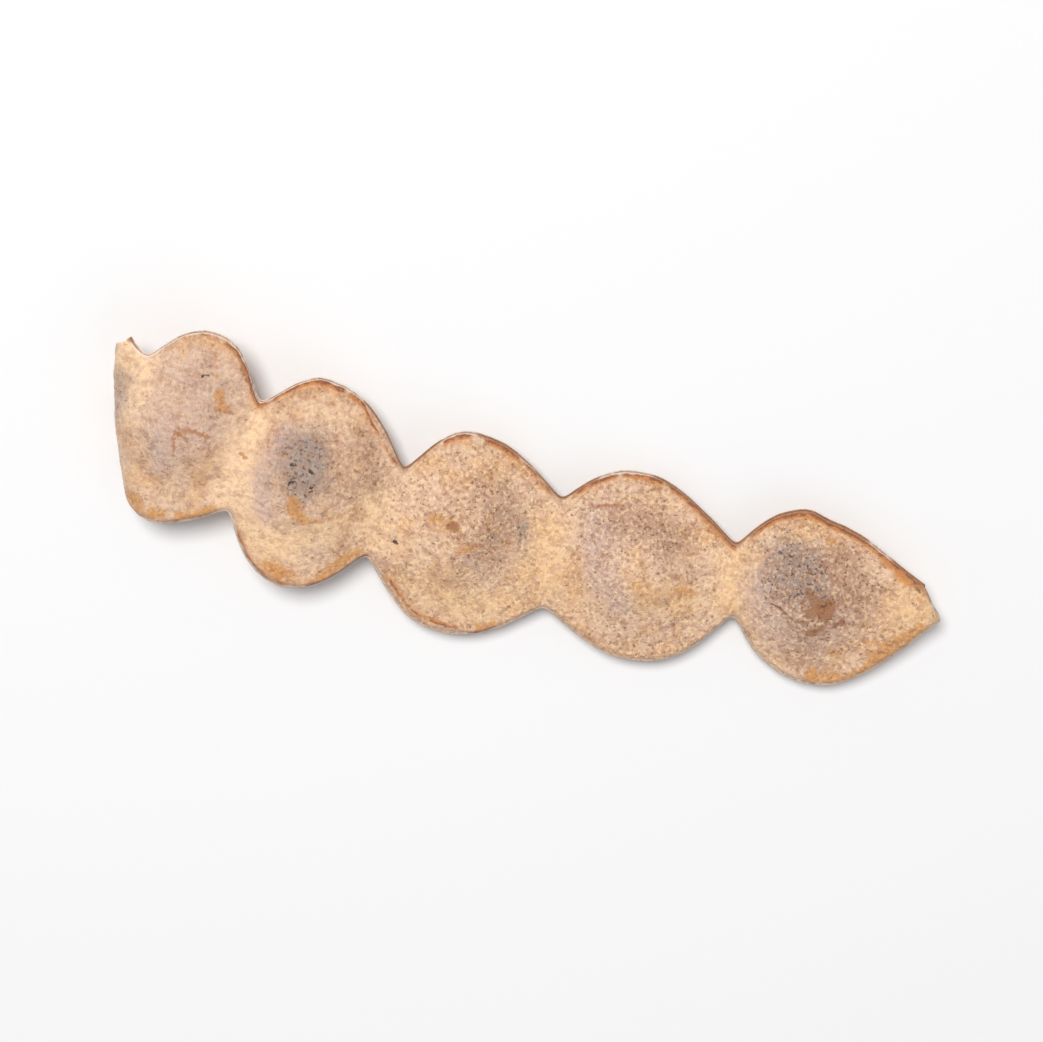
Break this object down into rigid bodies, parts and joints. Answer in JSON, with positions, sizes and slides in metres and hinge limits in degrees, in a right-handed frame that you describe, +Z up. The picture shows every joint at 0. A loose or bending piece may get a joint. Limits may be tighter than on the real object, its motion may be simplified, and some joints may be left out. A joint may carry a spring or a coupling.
{
  "type": "babul pod",
  "caption": "Flat, dry babul pod of round seed segments strung on narrow necks, with a blunt beak at one end and a torn, folded-down end at the other.",
  "frame": {"origin": "middle of the pod's box in X and Y, on the surface that the pod lies on", "axes": "+X along the pod towards its beak, +Y across it, +Z up out of its upper face"},
  "size_m": [0.0606, 0.0186, 0.0067],
  "materials": {
    "pod_skin": "dry, velvety, matt"
  },
  "bodies": {
    "root": {"pod": "pod_skin"}
  },
  "joints": []
}
